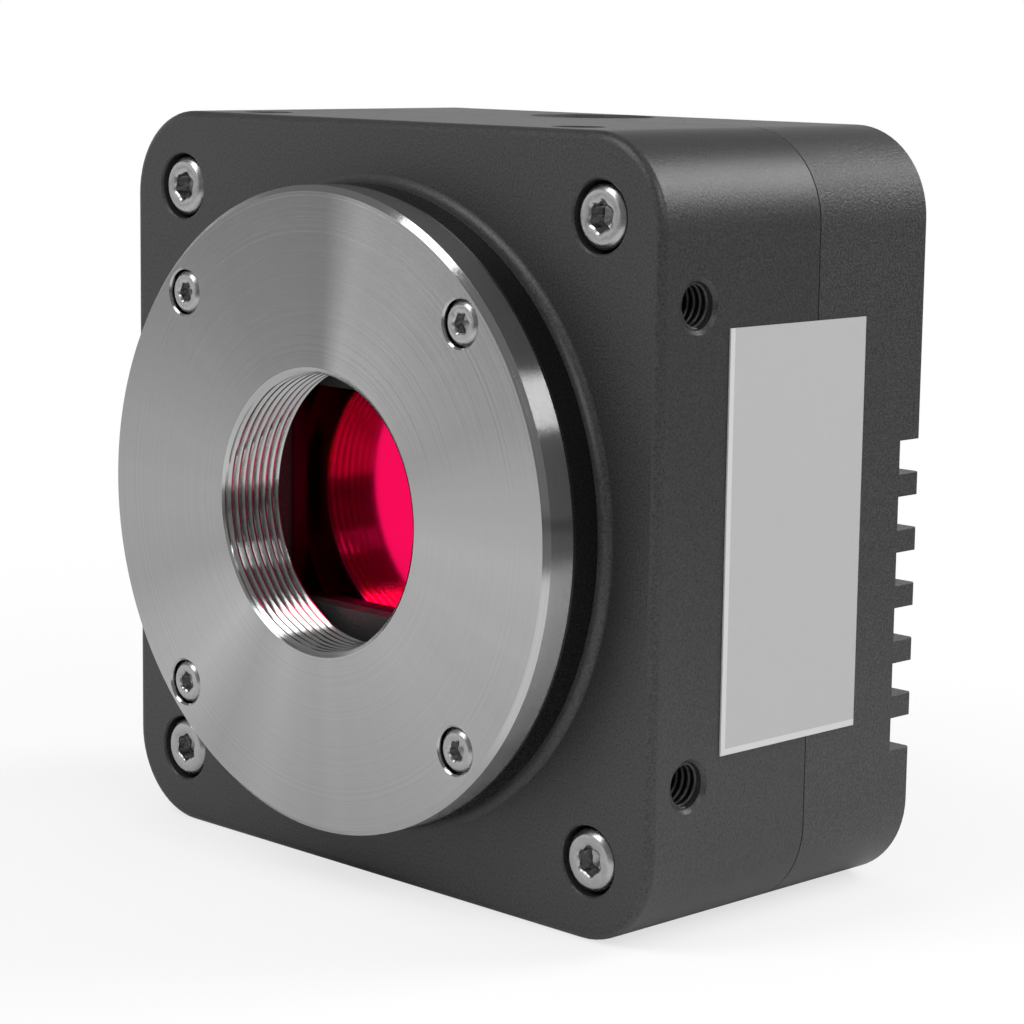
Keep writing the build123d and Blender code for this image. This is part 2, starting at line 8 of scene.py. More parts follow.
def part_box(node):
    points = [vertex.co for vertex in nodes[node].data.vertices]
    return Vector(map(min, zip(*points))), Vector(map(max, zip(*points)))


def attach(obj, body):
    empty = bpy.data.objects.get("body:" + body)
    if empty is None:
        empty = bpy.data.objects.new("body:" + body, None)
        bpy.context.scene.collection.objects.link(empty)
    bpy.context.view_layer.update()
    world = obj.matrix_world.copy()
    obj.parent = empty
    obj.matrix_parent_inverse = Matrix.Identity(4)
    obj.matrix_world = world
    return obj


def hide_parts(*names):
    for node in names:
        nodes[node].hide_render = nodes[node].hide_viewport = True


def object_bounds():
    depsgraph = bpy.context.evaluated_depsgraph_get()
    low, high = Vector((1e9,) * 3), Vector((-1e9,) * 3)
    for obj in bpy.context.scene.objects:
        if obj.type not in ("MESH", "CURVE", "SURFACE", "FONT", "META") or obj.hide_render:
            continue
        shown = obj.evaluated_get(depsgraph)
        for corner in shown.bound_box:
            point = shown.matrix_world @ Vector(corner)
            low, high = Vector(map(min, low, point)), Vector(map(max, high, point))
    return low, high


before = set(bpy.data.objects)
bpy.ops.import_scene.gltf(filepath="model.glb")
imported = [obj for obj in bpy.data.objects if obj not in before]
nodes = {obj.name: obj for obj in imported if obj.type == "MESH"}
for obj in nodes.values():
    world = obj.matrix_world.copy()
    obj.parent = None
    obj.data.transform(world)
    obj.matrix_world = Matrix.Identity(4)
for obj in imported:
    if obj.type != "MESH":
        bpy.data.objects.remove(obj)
cad_low, cad_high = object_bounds()
mm = 0.001

# Camera: a long lens at the photographer's place, to the right of the lens mount and a little
# above the middle of the body. Its place and turn come from the body's edges and screws as the
# photograph shows them.
camera_data = bpy.data.cameras.new("camera")
camera_data.sensor_width = 36.0
camera_data.lens = 106.23
camera = bpy.data.objects.new("camera", camera_data)
camera_right = Vector((0.70323, 0.71082, 0.01401))
camera_up = Vector((-0.12289, 0.10213, 0.98715))
camera_back = Vector((0.70026, -0.69592, 0.15918))
camera.matrix_world = Matrix.Translation((0.196764, -0.191999, 0.076326)) @ Matrix(
    (camera_right, camera_up, camera_back)
).transposed().to_4x4()
bpy.context.scene.collection.objects.link(camera)
bpy.context.scene.camera = camera
bpy.context.scene.view_settings.view_transform = "Standard"


# Studio: a white sweep with the light of large soft boxes. The world is the white backdrop that
# the camera sees. The metal sees it white low on the left, and a dark room above and on the right.
class Field:
    """An output of a node. Python's operators on it add the Math nodes of the same sum."""

    def __init__(self, socket):
        self.socket = socket

    def maths(self, operation, *operands):
        """Adds a Math node with these operands."""
        return add_node(
            self.socket.id_data,
            "ShaderNodeMath",
            {"operation": operation},
            dict(enumerate(operands)),
        )

    def __add__(self, other):
        return self.maths("ADD", self, other)

    def __radd__(self, other):
        return self.maths("ADD", other, self)

    def __sub__(self, other):
        return self.maths("SUBTRACT", self, other)

    def __rsub__(self, other):
        return self.maths("SUBTRACT", other, self)

    def __mul__(self, other):
        return self.maths("MULTIPLY", self, other)

    def __rmul__(self, other):
        return self.maths("MULTIPLY", other, self)

    def __truediv__(self, other):
        return self.maths("DIVIDE", self, other)

    def __gt__(self, other):
        return self.maths("GREATER_THAN", self, other)

    def __lt__(self, other):
        return self.maths("LESS_THAN", self, other)


def add_node(tree, kind, settings=None, inputs=None, output=0):
    """Adds a node, sets it up, sets or links its sockets, and gives one of its outputs.

    The stops of a colour ramp are given as (position, colour) pairs.
    """
    node = tree.nodes.new(kind)
    for name, value in (settings or {}).items():
        if name == "stops":
            ramp = node.color_ramp
            for stop, (place, color) in enumerate(value):
                element = ramp.elements[stop] if stop < 2 else ramp.elements.new(place)
                element.position = place
                element.color = color
        else:
            setattr(node, name, value)
    for name, value in (inputs or {}).items():
        if isinstance(value, Field):
            tree.links.new(value.socket, node.inputs[name])
        else:
            node.inputs[name].default_value = value
    return Field(node.outputs[output])


def one_axis(tree, vector, axis):
    """One coordinate of a vector."""
    return add_node(tree, "ShaderNodeSeparateXYZ", {}, {0: vector}, output=axis)


def vector_maths(tree, operation, *operands, output="Vector"):
    """Maths on whole vectors. DOT_PRODUCT and LENGTH give their number as output Value."""
    return add_node(
        tree,
        "ShaderNodeVectorMath",
        {"operation": operation},
        dict(enumerate(operands)),
        output=output,
    )


def eased(tree, value, start, end, low=0.0, high=1.0):
    """Goes smoothly from low to high while the value goes from start to end."""
    return add_node(
        tree,
        "ShaderNodeMapRange",
        {"interpolation_type": "SMOOTHSTEP"},
        {"Value": value, "From Min": start, "From Max": end, "To Min": low, "To Max": high},
    )


def gray(tree, value):
    """A gray colour from one number."""
    return add_node(
        tree, "ShaderNodeCombineColor", {}, {"Red": value, "Green": value, "Blue": value}
    )


world = bpy.data.worlds.new("studio")
bpy.context.scene.world = world
world.use_nodes = True
world_tree = world.node_tree
backdrop = world_tree.nodes["Background"]
toward = add_node(world_tree, "ShaderNodeTexCoord", output="Generated")
leftward = eased(world_tree, one_axis(world_tree, toward, "X"), 0.30, -0.40)
low_down = eased(world_tree, one_axis(world_tree, toward, "Z"), 0.45, 0.12)
room_tone = 0.25
in_room = room_tone + (1 - room_tone) * leftward * low_down
ambient = 0.55
seen_directly = add_node(world_tree, "ShaderNodeLightPath", output="Is Camera Ray")
seen_in_metal = add_node(world_tree, "ShaderNodeLightPath", output="Is Glossy Ray")
world_strength = seen_directly + (1 - seen_directly) * (
    seen_in_metal * in_room + (1 - seen_in_metal) * ambient
)
world_tree.links.new(world_strength.socket, backdrop.inputs["Strength"])
backdrop.inputs["Color"].default_value = (1, 1, 1, 1)

# The floor is white to the camera some way from the body. To glossy rays it is painted dark past
# two edges, a painted reflection of a dark room, each edge with its distance from the middle, its
# direction and its softness.
floor_size = 4.0
floor_mesh = bpy.data.meshes.new("floor")
floor_mesh.from_pydata(
    [(x * floor_size, y * floor_size, 0) for x, y in ((-1, -1), (1, -1), (1, 1), (-1, 1))],
    [],
    [(0, 1, 2, 3)],
)
floor = bpy.data.objects.new("floor", floor_mesh)
bpy.context.scene.collection.objects.link(floor)
floor_paper = bpy.data.materials.new("white paper")
floor_paper.use_nodes = True
paper_tree = floor_paper.node_tree
paper = paper_tree.nodes["Principled BSDF"]
paper.inputs["Roughness"].default_value = 0.9
paper.inputs["Specular IOR Level"].default_value = 0.1
paper_glow = paper_tree.nodes.new("ShaderNodeEmission")
paper_seen = add_node(paper_tree, "ShaderNodeLightPath", output="Is Camera Ray")
paper_in_metal = add_node(paper_tree, "ShaderNodeLightPath", output="Is Glossy Ray")
paper_place = add_node(paper_tree, "ShaderNodeTexCoord", output="Object")
from_middle = vector_maths(paper_tree, "LENGTH", paper_place, output="Value")
whitened = eased(paper_tree, from_middle, 0.05, 0.20, 0.70, 1.0)
painted_dark_beyond = 0.0
for edge, outwards, softness in ((0.09, (0.72, 0.69, 0), 0.06), (0.14, (0.60, -0.80, 0), 0.03)):
    along = vector_maths(paper_tree, "DOT_PRODUCT", paper_place, outwards, output="Value")
    past_edge = eased(paper_tree, along, edge, edge + softness)
    painted_dark_beyond = past_edge.maths("MAXIMUM", past_edge, painted_dark_beyond)
paper_tone = 0.86
# Painted reflection: the tone the paper is painted to glossy rays past the edges
painted_room_tone = 0.20
paper_color = gray(
    paper_tree, paper_tone - (paper_tone - painted_room_tone) * paper_in_metal * painted_dark_beyond
)
paper_tree.links.new(paper_color.socket, paper.inputs["Base Color"])
paper_mix = paper_tree.nodes.new("ShaderNodeMixShader")
paper_tree.links.new((paper_seen * whitened).socket, paper_mix.inputs[0])
paper_tree.links.new(paper.outputs[0], paper_mix.inputs[1])
paper_tree.links.new(paper_glow.outputs[0], paper_mix.inputs[2])
paper_tree.links.new(paper_mix.outputs[0], paper_tree.nodes["Material Output"].inputs[0])
floor_mesh.materials.append(floor_paper)

body_centre = (cad_low + cad_high) / 2


def soft_box(name, direction, distance, width, height, power, roll=0.0):
    """A rectangular lamp that faces the body's centre, rolled about that direction."""
    lamp = bpy.data.lights.new(name, "AREA")
    lamp.shape = "RECTANGLE"
    lamp.size = width
    lamp.size_y = height
    lamp.energy = power
    away = Vector(direction).normalized()
    box = bpy.data.objects.new(name, lamp)
    box.matrix_world = (
        Matrix.Translation(body_centre + away * distance)
        @ away.to_track_quat("Z", "Y").to_matrix().to_4x4()
        @ Matrix.Rotation(roll, 4, "Z")
    )
    bpy.context.scene.collection.objects.link(box)


soft_box("key", (-0.22, -0.64, 0.73), distance=0.60, width=0.21, height=0.42, power=1.5)
soft_box(
    "rear edge", (0.43, 0.69, 0.58), distance=0.60, width=0.30, height=0.17, power=1.8, roll=0.78
)
soft_box("side", (0.80, -0.20, 0.58), distance=0.70, width=0.36, height=0.20, power=1.15)


# Front half of the body: milled from a block of aluminium, bead blasted and anodised dark grey.
# It carries the round seat of the lens mount, the light path, counterbores for the corner
# screws and the tapped holes of its four sides. It clamps onto the rear half.
def link_piece(name, vertices, faces):
    """A mesh piece with its place in its mesh and its faces turned outwards."""
    mesh = bpy.data.meshes.new(name)
    mesh.from_pydata(vertices, [], faces)
    shell = bmesh.new()
    shell.from_mesh(mesh)
    bmesh.ops.recalc_face_normals(shell, faces=shell.faces)
    shell.to_mesh(mesh)
    shell.free()
    piece = bpy.data.objects.new(name, mesh)
    bpy.context.scene.collection.objects.link(piece)
    return piece


def turned(name, profile, place, steps=128, ring=False):
    """A closed piece turned from (radius, height) points about the Z axis of a matrix.

    A radius may also be a function of the angle and the height.
    """
    vertices = []
    rows = []
    for radius, height in profile:
        if radius == 0:
            rows.append([len(vertices)] * steps)
            vertices.append(place @ Vector((0, 0, height)))
            continue
        rows.append(range(len(vertices), len(vertices) + steps))
        for step in range(steps):
            angle = 2 * pi * step / steps
            reach = radius(angle, height) if callable(radius) else radius
            vertices.append(place @ Vector((reach * cos(angle), reach * sin(angle), height)))
    faces = []
    for low, high in zip(rows, rows[1:] + (rows[:1] if ring else [])):
        for step in range(steps):
            after = (step + 1) % steps
            corners = list(dict.fromkeys((low[step], low[after], high[after], high[step])))
            if len(corners) > 2:
                faces.append(corners)
    return link_piece(name, vertices, faces)


def block(name, outlines):
    """A closed piece through (x, z) outlines of equally many points, each with its depth y."""
    count = len(outlines[0][1])
    vertices = [(x, depth, z) for depth, outline in outlines for x, z in outline]
    faces = [tuple(range(count)), tuple(range(len(vertices) - count, len(vertices)))]
    for start in range(0, len(vertices) - count, count):
        for step in range(count):
            after = (step + 1) % count
            faces.append((start + step, start + after, start + count + after, start + count + step))
    return link_piece(name, vertices, faces)


def rounded(width, height, radius, steps=16):
    """The outline of a rectangle with round corners, round the optical axis."""
    outline = []
    for corner, (sign_x, sign_z) in enumerate(((1, 1), (-1, 1), (-1, -1), (1, -1))):
        for step in range(steps + 1):
            angle = pi / 2 * (corner + step / steps)
            outline.append(
                (
                    sign_x * (width / 2 - radius) + radius * cos(angle),
                    axis_z + sign_z * (height / 2 - radius) + radius * sin(angle),
                )
            )
    return outline


def bake_modifiers(piece):
    """Turns a piece's modifiers into its plain mesh."""
    graph = bpy.context.evaluated_depsgraph_get()
    mesh = bpy.data.meshes.new_from_object(piece.evaluated_get(graph))
    piece.modifiers.clear()
    piece.data = mesh


def combine(piece, others, operation):
    """Cuts the other pieces from a piece, or adds them to it."""
    for other in others:
        modifier = piece.modifiers.new("combine", "BOOLEAN")
        modifier.operation = operation
        modifier.solver = "EXACT"
        modifier.object = other
    bake_modifiers(piece)
    for other in others:
        bpy.data.objects.remove(other)


def smooth(piece, sharp_angle=35):
    """Shades a piece smooth, with its flat faces kept flat up to their edges."""
    mesh = piece.data
    mesh.polygons.foreach_set("use_smooth", [True] * len(mesh.polygons))
    mesh.set_sharp_from_angle(angle=radians(sharp_angle))
    weights = piece.modifiers.new("weights", "WEIGHTED_NORMAL")
    weights.mode = "FACE_AREA"
    weights.weight = 100
    weights.keep_sharp = True
    bake_modifiers(piece)


facing_front = Matrix.Rotation(pi / 2, 4, "X")
facing_right = Matrix.Rotation(pi / 2, 4, "Y")
facing_left = Matrix.Rotation(-pi / 2, 4, "Y")
facing_up = Matrix.Identity(4)
facing_down = Matrix.Rotation(pi, 4, "X")


def at(x, y, z, direction):
    """The matrix of a place whose Z axis points in that direction."""
    return Matrix.Translation((x, y, z)) @ direction


def screw_places(spacing):
    """The corners of a square screw pattern round the optical axis."""
    return [(x * spacing / 2, axis_z + z * spacing / 2) for x in (-1, 1) for z in (-1, 1)]


def plain_hole(name, radius, over, depth, place, steps):
    """A cutter for a plain round hole, which begins a little over its surface."""
    return turned(name, [(0, over), (radius, over), (radius, -depth), (0, -depth)], place, steps)


def tapped_hole(name, radius, mouth, depth, place):
    """A cutter for a tapped hole with a 90 degree mouth and a drill point."""
    over = 0.2 * mm
    return turned(
        name,
        [
            (0, over),
            (mouth + over, over),
            (radius, radius - mouth),
            (radius, -depth),
            (0, -depth - radius / sqrt(3)),
        ],
        place,
        steps=64,
    )


front_low, front_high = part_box("front_housing")
body_half = front_high.x
body_size = 2 * body_half
axis_z = front_high.z / 2
seat_y = front_low.y
seat_height = 1.0 * mm
plate_y = seat_y + seat_height
joint_y = front_high.y
corner_radius = 8.0 * mm
edge_radius = 0.8 * mm
joint_edge = 0.12 * mm
flange_low, flange_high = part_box("c_mount_flange")
flange_radius = flange_high.x
seat_foot_radius = 0.9 * mm
housing_screw_spacing = 54.0 * mm
flange_screw_spacing = 36.06 * mm
side_hole_spacing = 40.0 * mm
side_hole_y = plate_y + 4.6 * mm
side_hole_radius = 2.0 * mm

# The front edge is an arc, and the edge at the joint a fine chamfer
front_rows = []
edge_steps = 6
for step in range(edge_steps + 1):
    turn = pi / 2 * step / edge_steps
    front_rows.append((plate_y + edge_radius * (1 - cos(turn)), edge_radius * (1 - sin(turn))))
front_rows.append((joint_y - joint_edge, 0))
front_rows.append((joint_y, joint_edge))


def body_outline(inset):
    """The body's outline, this far inside its sides."""
    side = body_size - 2 * inset
    return rounded(side, side, corner_radius - inset)


front_housing = block("front_shell", [(depth, body_outline(inset)) for depth, inset in front_rows])

# The seat's foot is an arc that ends just under the plate, so that it meets it in a clean edge
foot_sink = 0.01 * mm
foot_steps = 8
seat_root = 0.5 * mm
seat_profile = [(0, seat_height), (flange_radius, seat_height)]
for step in range(foot_steps + 1):
    turn = pi / 2 * step / foot_steps
    seat_profile.append(
        (
            flange_radius + seat_foot_radius * (1 - cos(turn)),
            seat_foot_radius * (1 - sin(turn)) - foot_sink,
        )
    )
seat_profile.append((flange_radius + seat_foot_radius, -seat_root))
seat_profile.append((0, -seat_root))
seat = turned("seat", seat_profile, at(0, plate_y, axis_z, facing_front), steps=256)
combine(front_housing, [seat], "UNION")

glass_low, glass_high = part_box("filter_glass")
seal_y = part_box("filter_seal")[0].y
retainer_low, retainer_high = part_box("filter_retainer")
board_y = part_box("sensor_board")[0].y
neck_radius = 15.1 * mm
neck_end_y = flange_high.y + 1.0 * mm
well_width, well_height = 27.8 * mm, 20.0 * mm
pocket_corner = 0.4 * mm
pocket_gap = 0.2 * mm
room_width = 42.0 * mm
room_corner = 3.0 * mm
wall = 5.0 * mm
boss_radius = 4.2 * mm
overlap = 0.05 * mm


def hollow(name, width, height, radius, start_y, end_y):
    """A cutter for a rectangular hollow on the optical axis."""
    outline = rounded(width, height, radius, steps=6)
    return block(name, [(start_y, outline), (end_y, outline)])


def counterbore(name, radius, bore, depth, length, place):
    """A cutter for a counterbored screw hole with a fine chamfer at its mouth."""
    chamfer = 0.15 * mm
    return turned(
        name,
        [
            (0, chamfer),
            (radius + 2 * chamfer, chamfer),
            (radius, -chamfer),
            (radius, -depth),
            (bore, -depth),
            (bore, -length),
            (0, -length),
        ],
        place,
        steps=64,
    )


def pocket(name, low, high, start_y, end_y):
    """A cutter for the pocket that a flat piece lies in."""
    width, height = high.x - low.x + pocket_gap, high.z - low.z + pocket_gap
    return hollow(name, width, height, pocket_corner, start_y, end_y)


def board_room(name, start_y, end_y):
    """A cutter for the boards' room, which goes round the bosses of the corner screws."""
    boss = housing_screw_spacing / 2
    lean = asin((body_half - wall - boss) / boss_radius)
    arc_steps = 12
    outline = []
    for corner in range(4):
        turn = Matrix.Rotation(pi / 2 * corner, 2)
        for step in range(arc_steps + 1):
            angle = 3 * pi / 2 + lean - (pi / 2 + 2 * lean) * step / arc_steps
            arc = Vector((boss_radius * cos(angle), boss_radius * sin(angle)))
            point = turn @ (Vector((boss, boss)) + arc)
            outline.append((point.x, axis_z + point.y))
    return block(name, [(start_y, outline), (end_y, outline)])


front_cutters = [
    plain_hole(
        "neck bore",
        neck_radius,
        over=1 * mm,
        depth=neck_end_y - seat_y,
        place=at(0, seat_y, axis_z, facing_front),
        steps=192,
    ),
    hollow("well", well_width, well_height, pocket_corner, neck_end_y - overlap, seal_y + overlap),
    pocket("glass pocket", glass_low, glass_high, seal_y, retainer_low.y + overlap),
    pocket(
        "retainer pocket", retainer_low, retainer_high, retainer_low.y, retainer_high.y + overlap
    ),
    hollow(
        "optics room", room_width, room_width, room_corner, retainer_high.y, board_y + overlap
    ),
    board_room("front board room", board_y, joint_y + 1 * mm),
]
for index, (x, z) in enumerate(screw_places(housing_screw_spacing)):
    front_cutters.append(
        counterbore(
            f"corner screw {index}",
            radius=3.05 * mm,
            bore=1.65 * mm,
            depth=3.1 * mm,
            length=30 * mm,
            place=at(x, plate_y, z, facing_front),
        )
    )
for index, (x, z) in enumerate(screw_places(flange_screw_spacing)):
    front_cutters.append(
        plain_hole(
            f"flange tap {index}",
            radius=1.0 * mm,
            over=0.1 * mm,
            depth=4.5 * mm,
            place=at(x, seat_y, z, facing_front),
            steps=32,
        )
    )
side_hole_places = []
for offset in (-side_hole_spacing / 2, side_hole_spacing / 2):
    side_hole_places += [
        at(body_half, side_hole_y, axis_z + offset, facing_right),
        at(-body_half, side_hole_y, axis_z + offset, facing_left),
        at(offset, side_hole_y, body_size, facing_up),
        at(offset, side_hole_y, 0, facing_down),
    ]
for index, place in enumerate(side_hole_places):
    front_cutters.append(
        tapped_hole(
            f"side hole {index}", side_hole_radius, mouth=2.35 * mm, depth=6 * mm, place=place
        )
    )
combine(front_housing, front_cutters, "DIFFERENCE")
smooth(front_housing)


def new_finish(name, constants):
    """A material with these constant values, its tree and its shader."""
    material = bpy.data.materials.new(name)
    material.use_nodes = True
    shader = material.node_tree.nodes["Principled BSDF"]
    for socket, value in constants.items():
        shader.inputs[socket].default_value = value
    return material, material.node_tree, shader


def vary(tree, shader, **fields):
    """Links what varies over the surface to the shader."""
    for socket, field in fields.items():
        tree.links.new(field.socket, shader.inputs[socket.replace("_", " ").title()])


def noise(tree, position, scale, detail=2.0, roughness=0.5):
    """Noise with features of 1 / scale metres, from 0 to 1."""
    return add_node(
        tree,
        "ShaderNodeTexNoise",
        {},
        {"Vector": position, "Scale": scale, "Detail": detail, "Roughness": roughness},
    )


def bump(tree, height, distance, strength=1.0, **others):
    """The normal over a relief of this depth."""
    return add_node(
        tree,
        "ShaderNodeBump",
        {},
        {"Height": height, "Distance": distance, "Strength": strength, **others},
        output="Normal",
    )


def anodised(name, tone, grain, relief, roughness, soft_edge):
    """Bead blasted aluminium, anodised: a fine grain in its tone and gloss, and broken edges."""
    material, tree, shader = new_finish(name, {"Metallic": 0.35, "Specular IOR Level": 0.5})
    position = add_node(tree, "ShaderNodeTexCoord", output="Object")
    fine = noise(tree, position, scale=4800, detail=3.0, roughness=0.65)
    broad = noise(tree, position, scale=60)
    edges = add_node(tree, "ShaderNodeBevel", {"samples": 4}, {"Radius": soft_edge})
    vary(
        tree,
        shader,
        base_color=gray(tree, tone * (1 + grain * (fine - 0.5) + 0.12 * (broad - 0.5))),
        roughness=roughness + 0.10 * (fine - 0.5) + 0.04 * (broad - 0.5),
        normal=bump(tree, fine, relief, Normal=edges),
    )
    return material


front_finish = anodised(
    "front anodised",
    tone=0.042,
    grain=2.4,
    relief=0.03 * mm,
    roughness=0.40,
    soft_edge=0.08 * mm,
)
front_housing.data.materials.clear()
front_housing.data.materials.append(front_finish)
front_housing.name = "front_housing_shell"
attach(front_housing, "root")
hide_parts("front_housing")


# Rear half of the body: the same aluminium and finish, blasted a little coarser. The cooling fins
# are milled across its back, and it takes the corner screws, the boards' sockets and the tripod
# screws. The model's own solid shows all this, so it only gets its finish.
def dress(material, *names):
    """Gives solids of the model their finish."""
    for name in names:
        for slot in nodes[name].material_slots:
            slot.material = material


rear_low, rear_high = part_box("rear_housing")
rear_finish = anodised(
    "rear anodised",
    tone=0.048,
    grain=3.0,
    relief=0.07 * mm,
    roughness=0.38,
    soft_edge=0.12 * mm,
)
dress(rear_finish, "rear_housing")


# Lens mount flange: a disc of stainless steel, turned on its face and rim, with a right-handed
# one inch thread of 32 turns to the inch cut through its neck. Four small screws hold it.
thread_pitch = 25.4 / 32 * mm
thread_radius = 12.7 * mm
thread_depth = 0.43 * mm
crest_half = 0.115  # half widths of the ridge's flat crest and of its foot, in pitches
foot_half = 0.490
mouth_radius = thread_radius + 0.05 * mm
mouth_slope = 1.6
bore_length = flange_high.y - flange_low.y
disc_thickness = 3.2 * mm
front_chamfer = 0.5 * mm
rear_chamfer = 0.15 * mm
inner_neck_radius = 15.0 * mm
screw_bore = 1.15 * mm


def thread_wall(angle, height):
    """The radius of the threaded bore: a trapezium ridge that rises one pitch each turn."""
    away = abs((height / thread_pitch - angle / (2 * pi)) % 1 - 0.5)
    ridge = min(max((foot_half - away) / (foot_half - crest_half), 0), 1)
    return max(thread_radius - thread_depth * ridge, mouth_radius + mouth_slope * height)


flange_profile = [
    (flange_radius - front_chamfer, 0),
    (flange_radius, -front_chamfer),
    (flange_radius, rear_chamfer - disc_thickness),
    (flange_radius - rear_chamfer, -disc_thickness),
    (inner_neck_radius, -disc_thickness),
    (inner_neck_radius, -bore_length),
    (thread_radius, -bore_length),
]
rows_per_turn = 10
thread_rows = int(bore_length / thread_pitch * rows_per_turn)
for row in range(1, thread_rows):
    flange_profile.append((thread_wall, -bore_length * (1 - row / thread_rows)))
flange_profile.append((mouth_radius, 0))
flange = turned(
    "c_mount_flange_turned",
    flange_profile,
    at(0, flange_low.y, axis_z, facing_front),
    steps=256,
    ring=True,
)
combine(
    flange,
    [
        counterbore(
            f"flange screw {index}",
            radius=2.05 * mm,
            bore=screw_bore,
            depth=2.0 * mm,
            length=4 * mm,
            place=at(x, flange_low.y, z, facing_front),
        )
        for index, (x, z) in enumerate(screw_places(flange_screw_spacing))
    ],
    "DIFFERENCE",
)
smooth(flange, 25)


def turned_steel(name, tone):
    """Bright turned steel: fine lines round the axis, with wedges of painted sheen in the flat
    face's colour.
    """
    material, tree, shader = new_finish(name, {"Metallic": 1.0})
    position = add_node(tree, "ShaderNodeTexCoord", output="Object")
    centred = vector_maths(tree, "MULTIPLY_ADD", position, (1, 0, 1), (0, 0, -axis_z))
    radius = vector_maths(tree, "LENGTH", centred, output="Value")
    outward = vector_maths(tree, "NORMALIZE", centred)
    across = one_axis(tree, position, "Y")
    normal = add_node(tree, "ShaderNodeNewGeometry", output="Normal")

    # 1 on the flat face and on the rim, and 0 elsewhere
    hair = 0.01 * mm
    on_face = (across < flange_low.y + hair) * (radius > mouth_radius + hair)
    on_rim = radius > flange_radius - hair

    # The tool's lines differ in tone and lean the surface a little. Grit in each of them spreads
    # the reflections across the lines, most of all on the rim.
    line_width = 0.28 * mm
    lines = add_node(
        tree,
        "ShaderNodeTexNoise",
        {"noise_dimensions": "1D"},
        {"W": (radius + across) / line_width, "Scale": 1.0, "Detail": 4.0, "Roughness": 0.8},
    )
    grit = add_node(
        tree,
        "ShaderNodeTexWhiteNoise",
        {"noise_dimensions": "4D"},
        {"Vector": centred, "W": across},
    )
    wander = (0.05 + 0.29 * on_face) * (lines - 0.5)
    spread = (0.30 + 1.10 * on_rim - 0.18 * on_face) * (grit - 0.5)
    round_axis = vector_maths(tree, "CROSS_PRODUCT", outward, (0, 1, 0))
    over_lines = vector_maths(tree, "CROSS_PRODUCT", round_axis, normal)
    lean = add_node(
        tree,
        "ShaderNodeVectorMath",
        {"operation": "SCALE"},
        {0: over_lines, "Scale": wander + spread},
        output="Vector",
    )
    leaned = vector_maths(tree, "NORMALIZE", vector_maths(tree, "ADD", normal, lean))

    # Painted sheen: wedges of reflection painted into the tone at these degrees round the face,
    # from 9 o'clock by way of 6 and 3
    sideways = one_axis(tree, centred, "X")
    upward = one_axis(tree, centred, "Z")
    bearing = 0.5 + upward.maths("ARCTAN2", upward, sideways) / (2 * pi)
    painted_sheen_wedges = add_node(
        tree,
        "ShaderNodeValToRGB",
        {
            "stops": [
                (degrees / 360, (level, level, level, 1))
                for degrees, level in (
                    (0, 0.7), (20, 0.65), (45, 0.9), (60, 0.75), (75, 0.85), (90, 0.75),
                    (120, 0.8), (180, 0.8), (205, 0.65), (240, 0.85), (258, 0.9), (267, 0.5),
                    (300, 0.55), (345, 0.7), (360, 0.7),
                )
            ]
        },
        {"Fac": bearing},
    )
    # Soft patches of painted sheen over the wedges
    painted_sheen_patches = noise(tree, outward, scale=5.0)
    face_tone_with_painted_sheen = tone * painted_sheen_wedges * (1 + 0.16 * (painted_sheen_patches - 0.5))
    shade = (face_tone_with_painted_sheen * on_face + 0.9 * tone * (1 - on_face)) * (1 + 0.30 * (lines - 0.5))
    vary(
        tree,
        shader,
        base_color=gray(tree, shade),
        roughness=0.12 + 0.08 * on_face + 0.06 * (lines - 0.5),
        normal=leaned,
    )
    return material


flange.data.materials.append(turned_steel("turned steel", 0.50))
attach(flange, "root")
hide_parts("c_mount_flange")


# Ring between the flange and the body: aluminium, turned smooth and anodised black. The flange's
# screws pass through it and clamp it on the round seat.
ring_low, ring_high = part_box("flange_spacer_ring")
ring_width = ring_high.y - ring_low.y
ring_edge = 0.12 * mm
black_ring = turned(
    "flange_spacer_ring_turned",
    [
        (neck_radius, 0),
        (flange_radius - ring_edge, 0),
        (flange_radius, -ring_edge),
        (flange_radius, ring_edge - ring_width),
        (flange_radius - ring_edge, -ring_width),
        (neck_radius, -ring_width),
    ],
    at(0, ring_low.y, axis_z, facing_front),
    steps=256,
    ring=True,
)
combine(
    black_ring,
    [
        plain_hole(
            f"ring hole {index}",
            screw_bore,
            over=1 * mm,
            depth=4 * mm,
            place=at(x, ring_low.y, z, facing_front),
            steps=48,
        )
        for index, (x, z) in enumerate(screw_places(flange_screw_spacing))
    ],
    "DIFFERENCE",
)
smooth(black_ring, 25)
ring_finish, ring_tree, ring_shader = new_finish(
    "black anodised", {"Metallic": 0.1, "Specular IOR Level": 0.3}
)
ring_place = add_node(ring_tree, "ShaderNodeTexCoord", output="Object")
ring_grain = noise(ring_tree, ring_place, scale=4000, detail=3.0)
ring_line_width = 0.2 * mm
ring_lines = add_node(
    ring_tree,
    "ShaderNodeTexNoise",
    {"noise_dimensions": "1D"},
    {"W": one_axis(ring_tree, ring_place, "Y") / ring_line_width, "Scale": 1.0, "Detail": 3.0},
)
vary(
    ring_tree,
    ring_shader,
    base_color=gray(ring_tree, 0.006 * (1 + 0.5 * (ring_grain - 0.5))),
    roughness=0.27 + 0.10 * (ring_grain - 0.5),
    normal=bump(ring_tree, ring_lines, 0.01 * mm, 0.5),
)
black_ring.data.materials.append(ring_finish)
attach(black_ring, "root")
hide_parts("flange_spacer_ring")


